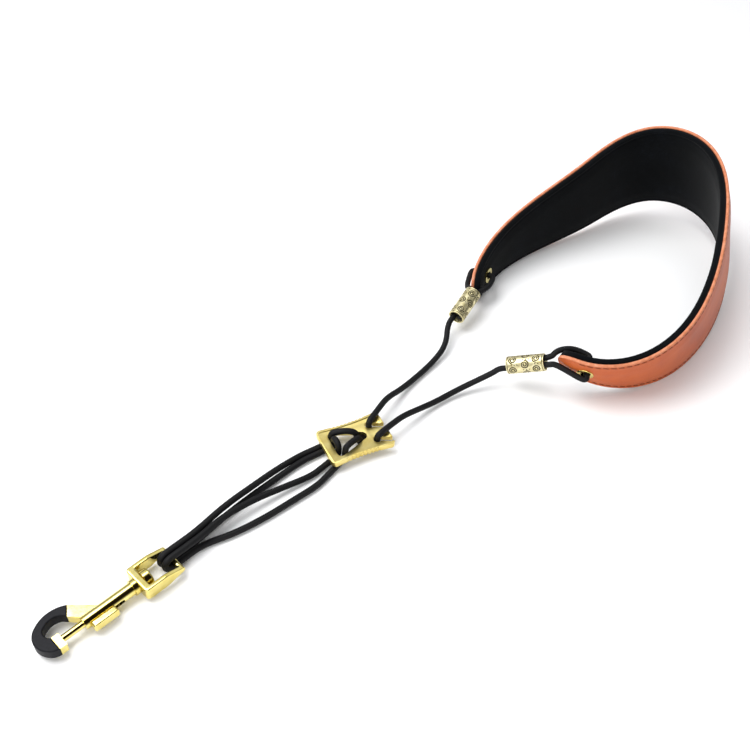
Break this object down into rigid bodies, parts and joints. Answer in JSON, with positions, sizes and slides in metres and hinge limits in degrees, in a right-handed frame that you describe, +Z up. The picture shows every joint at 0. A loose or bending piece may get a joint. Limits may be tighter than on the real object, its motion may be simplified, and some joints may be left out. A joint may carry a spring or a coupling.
{
  "type": "saxophone neck strap",
  "caption": "Padded leather neck band on a doubled braided cord with a sliding cast adjuster, tube beads and a swivelling, rubber-coated bolt snap.",
  "frame": {"origin": "on the table, under the middle of the whole strap", "axes": "+X from the snap hook to the far side of the neck band, +Y to the left, +Z up from the table"},
  "size_m": [0.4315, 0.1245, 0.0677],
  "materials": {
    "braided_cord": "matt braid",
    "engraved_brass": "antique satin",
    "gold_metal": "polished",
    "orange_leather": "smooth vegetable-tanned",
    "foam": "closed-cell foam",
    "dark_lining": "suede",
    "orange_thread": "waxed thread",
    "satin_gold": "satin cast",
    "black_rubber": "satin moulded",
    "spring_steel": "drawn wire"
  },
  "bodies": {
    "strap": {"cord_bight_left": "braided_cord", "cord_bight_right": "braided_cord", "cord_lower_1": "braided_cord", "cord_lower_2": "braided_cord", "cord_lower_3": "braided_cord", "cord_lower_4": "braided_cord", "cord_tie_left": "braided_cord", "cord_tie_right": "braided_cord", "cord_upper_left": "braided_cord", "cord_upper_right": "braided_cord", "eyelet_left": "gold_metal", "eyelet_right": "gold_metal", "eyelet_washer_left": "gold_metal", "eyelet_washer_right": "gold_metal", "lower_seam_thread": "orange_thread", "pad_foam": "foam", "pad_leather": "orange_leather", "pad_lining": "dark_lining", "upper_seam_thread": "orange_thread", "swivel_eye": "gold_metal"},
    "slider": {"adjuster_plate": "satin_gold", "cord_cross_left": "braided_cord", "cord_cross_right": "braided_cord", "cord_cross_middle": "braided_cord"},
    "snap": {"hook_body": "gold_metal", "hook_coating": "black_rubber", "bolt_spring": "spring_steel", "swivel_rivet": "gold_metal", "swivel_washer": "gold_metal"},
    "bolt": {"bolt_pin": "gold_metal", "thumb_tab": "gold_metal"},
    "bead_left": {"bead_left": "engraved_brass"},
    "bead_right": {"bead_right": "engraved_brass"}
  },
  "joints": [
    {"name": "adjuster_slide", "type": "slide", "parent": "strap", "child": "slider", "axis": [1, 0, 0], "range_m": [-0.07, 0.045], "deforming": ["cord_upper_left", "cord_upper_right", "cord_lower_1", "cord_lower_2", "cord_lower_3", "cord_lower_4"]},
    {"name": "snap_swivel", "type": "hinge", "parent": "strap", "child": "snap", "pos_m": [-0.1705, 0.025, 0.0046], "axis": [1, 0, 0], "continuous": true},
    {"name": "bolt_slide", "type": "slide", "parent": "snap", "child": "bolt", "axis": [1, 0, 0], "range_m": [0, 0.0095], "stiffness_N_per_m": 250, "springref_m": -0.008, "deforming": ["bolt_spring"]},
    {"name": "bead_left_slide", "type": "slide", "parent": "strap", "child": "bead_left", "axis": [0.9543, 0.2138, 0.2086], "range_m": [-0.005, 0.001], "deforming": ["cord_tie_left", "cord_upper_left"]},
    {"name": "bead_right_slide", "type": "slide", "parent": "strap", "child": "bead_right", "axis": [0.4617, -0.8156, 0.3488], "range_m": [-0.004, 0.001], "deforming": ["cord_tie_right", "cord_upper_right"]}
  ]
}
